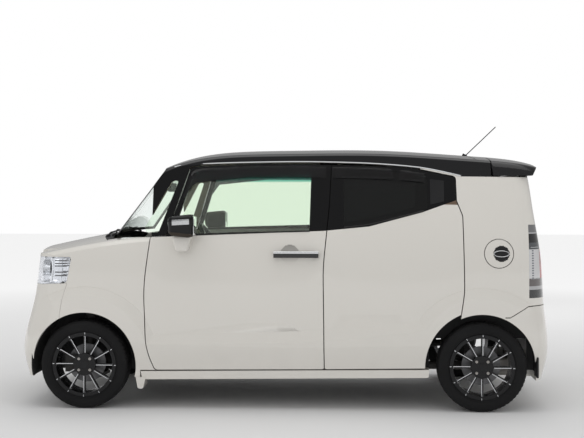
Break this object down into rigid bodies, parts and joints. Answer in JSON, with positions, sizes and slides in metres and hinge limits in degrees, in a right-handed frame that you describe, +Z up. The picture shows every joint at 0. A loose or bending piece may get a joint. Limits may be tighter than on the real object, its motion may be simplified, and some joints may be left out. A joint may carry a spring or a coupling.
{
  "type": "kei car",
  "caption": "Small tall hatchback car with opening doors, bonnet, tailgate and fuel lid, steered front wheels and a full cabin.",
  "frame": {"origin": "centre of the overall box on the ground plane, under the middle of the car", "axes": "+X forwards to the nose, +Y to the car's left, +Z up"},
  "size_m": [3.395, 1.86, 1.8353],
  "materials": {
    "paint": "pearl paint",
    "roof_paint": "gloss paint",
    "black_trim": "satin",
    "tinted_glass": "clear green tint",
    "dark_glass": "privacy tint",
    "chrome": "polished",
    "iron": "painted black",
    "alloy": "black with machined faces",
    "tyre": "matte",
    "lamp_glass": "clear and red lens",
    "underbody": "sealed",
    "steel": "dull",
    "fabric": "woven",
    "interior": "grained"
  },
  "bodies": {
    "root": {"fenders": "paint", "headlamps": "lamp_glass", "a_pillars": "black_trim", "b_pillars": "black_trim", "tail_lamps": "lamp_glass", "quarter_windows": "tinted_glass", "sills": "paint", "quarter_panel_left": "paint", "quarter_panel_right": "paint", "roof": "roof_paint", "windscreen": "tinted_glass", "front_bumper": "paint", "grilles": "black_trim", "rear_bumper": "paint", "cowl": "black_trim", "front_panel": "iron", "floor_pan": "underbody", "engine": "iron", "fuel_tank": "underbody", "front_suspension": "iron", "rear_axle": "iron", "exhaust": "steel", "front_seats": "fabric", "rear_seat": "fabric", "dashboard": "interior", "steering_wheel": "interior", "wipers": "black_trim", "antenna": "black_trim"},
    "front_door_left": {"front_door_left": "paint", "front_window_frame_left": "black_trim", "front_door_glass_left": "tinted_glass", "mirror_left": "black_trim", "door_handle_left": "chrome"},
    "front_door_right": {"front_door_right": "paint", "front_window_frame_right": "black_trim", "front_door_glass_right": "tinted_glass", "mirror_right": "black_trim", "door_handle_right": "chrome"},
    "rear_door_left": {"rear_door_left": "paint", "rear_window_frame_left": "black_trim", "rear_door_glass_left": "dark_glass"},
    "rear_door_right": {"rear_door_right": "paint", "rear_window_frame_right": "black_trim", "rear_door_glass_right": "dark_glass"},
    "bonnet": {"bonnet": "paint"},
    "tailgate": {"tailgate": "paint", "tailgate_glass": "dark_glass", "spoiler": "roof_paint"},
    "fuel_lid": {"fuel_lid": "paint"},
    "knuckle_left": {"knuckle_left": "iron"},
    "knuckle_right": {"knuckle_right": "iron"},
    "front_wheel_left": {"front_rim_left": "alloy", "front_tyre_left": "tyre"},
    "front_wheel_right": {"front_rim_right": "alloy", "front_tyre_right": "tyre"},
    "rear_wheel_left": {"rear_rim_left": "alloy", "rear_tyre_left": "tyre"},
    "rear_wheel_right": {"rear_rim_right": "alloy", "rear_tyre_right": "tyre"}
  },
  "joints": [
    {"name": "front_door_left_hinge", "type": "hinge", "parent": "root", "child": "front_door_left", "pos_m": [0.877, 0.7375, 0.7], "axis": [0, 0, -1], "range_deg": [0, 68]},
    {"name": "rear_door_left_hinge", "type": "hinge", "parent": "root", "child": "rear_door_left", "pos_m": [-0.266, 0.7375, 0.7], "axis": [0, 0, -1], "range_deg": [0, 72]},
    {"name": "front_door_right_hinge", "type": "hinge", "parent": "root", "child": "front_door_right", "pos_m": [0.877, -0.7375, 0.7], "axis": [0, 0, 1], "range_deg": [0, 68]},
    {"name": "rear_door_right_hinge", "type": "hinge", "parent": "root", "child": "rear_door_right", "pos_m": [-0.266, -0.7375, 0.7], "axis": [0, 0, 1], "range_deg": [0, 72]},
    {"name": "bonnet_hinge", "type": "hinge", "parent": "root", "child": "bonnet", "pos_m": [1.12, 0, 1.085], "axis": [0, -1, 0], "range_deg": [0, 46]},
    {"name": "tailgate_hinge", "type": "hinge", "parent": "root", "child": "tailgate", "pos_m": [-1.336, 0, 1.623], "axis": [0, 1, 0], "range_deg": [0, 66]},
    {"name": "fuel_lid_hinge", "type": "hinge", "parent": "root", "child": "fuel_lid", "pos_m": [-1.276, 0.714, 0.994], "axis": [0, 0, -1], "range_deg": [0, 80]},
    {"name": "steer_left", "type": "hinge", "parent": "root", "child": "knuckle_left", "pos_m": [1.26, 0.57, 0.281], "axis": [0, -0.165, 0.9863], "range_deg": [-34, 34]},
    {"name": "front_wheel_left_spin", "type": "hinge", "parent": "knuckle_left", "child": "front_wheel_left", "pos_m": [1.26, 0.645, 0.281], "axis": [0, 1, 0], "continuous": true},
    {"name": "rear_wheel_left_spin", "type": "hinge", "parent": "root", "child": "rear_wheel_left", "pos_m": [-1.26, 0.645, 0.281], "axis": [0, 1, 0], "continuous": true},
    {"name": "steer_right", "type": "hinge", "parent": "root", "child": "knuckle_right", "pos_m": [1.26, -0.57, 0.281], "axis": [0, 0.165, 0.9863], "range_deg": [-34, 34]},
    {"name": "front_wheel_right_spin", "type": "hinge", "parent": "knuckle_right", "child": "front_wheel_right", "pos_m": [1.26, -0.645, 0.281], "axis": [0, 1, 0], "continuous": true},
    {"name": "rear_wheel_right_spin", "type": "hinge", "parent": "root", "child": "rear_wheel_right", "pos_m": [-1.26, -0.645, 0.281], "axis": [0, 1, 0], "continuous": true}
  ],
  "couplings": [
    {"joint": "steer_right", "follows": "steer_left", "ratio": 1}
  ]
}
